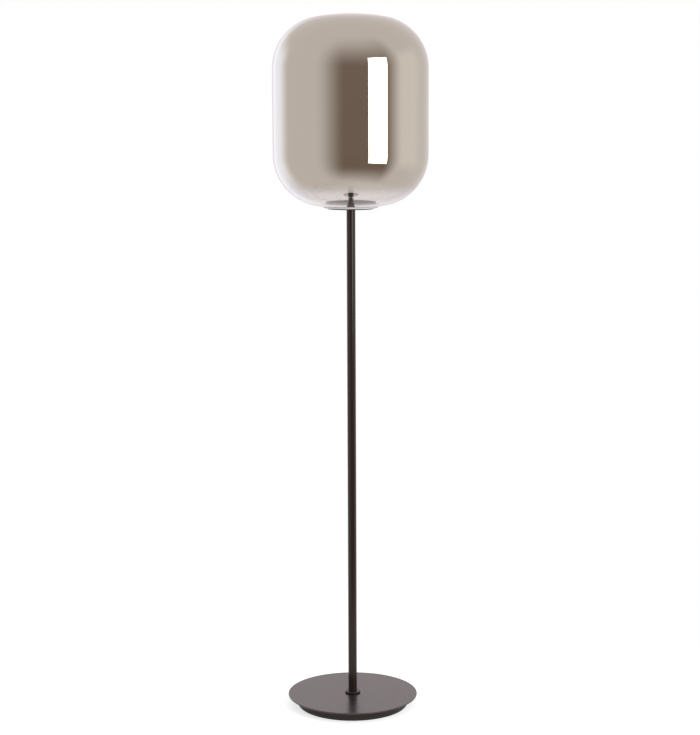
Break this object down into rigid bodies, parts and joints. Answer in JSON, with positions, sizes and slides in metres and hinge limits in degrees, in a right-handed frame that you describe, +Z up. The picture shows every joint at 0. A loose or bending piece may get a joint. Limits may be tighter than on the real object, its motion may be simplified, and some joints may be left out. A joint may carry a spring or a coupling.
{
  "type": "globe floor lamp",
  "caption": "Floor lamp: a tall capsule-shaped mirror glass globe that lifts off, a screw-in bulb inside, a thin tube stem and a flat round weighted base.",
  "frame": {"origin": "on the floor, on the stem's axis, under the base pad", "axes": "+Z up along the stem, +Y to the rear where the cord bush is, +X to the right seen from the front"},
  "size_m": [0.3499, 0.35, 1.5871],
  "materials": {
    "foam_pad": "dense black foam",
    "cast_iron": "painted dark brown-black",
    "base_plate": "satin dark bronze",
    "stem": "satin dark bronze",
    "nylon": "black nylon",
    "block_plastic": "white moulded plastic",
    "zinc_steel": "bright zinc plate",
    "brass": "plain brass",
    "silicone": "translucent grey silicone",
    "black_cap": "matt black",
    "smoked_glass": "mirror-coated smoked glass",
    "holder_black": "black moulded plastic",
    "porcelain": "white moulded core",
    "wire_brown": "brown insulation",
    "wire_blue": "blue insulation",
    "wire_green": "green and yellow insulation",
    "clear_glass": "clear glass",
    "bulb_metal": "plain",
    "phosphor": "yellow phosphor",
    "black_vitrite": "black glass"
  },
  "bodies": {
    "stand": {"base_pad": "foam_pad", "base_weight": "cast_iron", "base_plate": "base_plate", "cord_bush": "nylon", "terminal_block": "block_plastic", "terminal_screws": "zinc_steel", "block_screws": "zinc_steel", "earth_screw": "brass", "foot_collar": "stem", "foot_nipple": "zinc_steel", "foot_washer": "zinc_steel", "foot_lock_washer": "zinc_steel", "foot_nut": "brass", "stem_tube": "stem", "stem_foot_plug": "zinc_steel", "stem_top_plug": "zinc_steel", "seat_dish": "stem", "seat_gasket": "silicone", "seat_washer": "zinc_steel", "seat_nut": "brass", "locating_cap": "black_cap", "riser_tube": "black_cap", "riser_nipple": "zinc_steel", "holder_cap": "holder_black", "holder_lock_nut": "brass", "holder_core": "porcelain", "holder_shell": "brass", "holder_terminals": "brass", "centre_contact": "brass", "holder_skirt": "holder_black", "live_wire": "wire_brown", "neutral_wire": "wire_blue", "earth_wire": "wire_green"},
    "globe": {"globe_glass": "smoked_glass"},
    "bulb_foot": {"bulb_insulator": "black_vitrite", "bulb_contact": "zinc_steel"},
    "bulb": {"bulb_glass": "clear_glass", "bulb_cap": "bulb_metal", "filament_mount": "clear_glass", "filaments": "phosphor"}
  },
  "joints": [
    {"name": "globe_lift", "type": "slide", "parent": "stand", "child": "globe", "axis": [0, 0, 1], "range_m": [0, 0.3]},
    {"name": "bulb_rise", "type": "slide", "parent": "stand", "child": "bulb_foot", "axis": [0, 0, 1], "range_m": [0, 0.01452]},
    {"name": "bulb_turn", "type": "hinge", "parent": "bulb_foot", "child": "bulb", "pos_m": [0, 0, 1.3], "axis": [0, 0, 1], "range_deg": [0, 1440]}
  ],
  "couplings": [
    {"joint": "bulb_rise", "follows": "bulb_turn", "m_per_rad": 0.00057757}
  ]
}
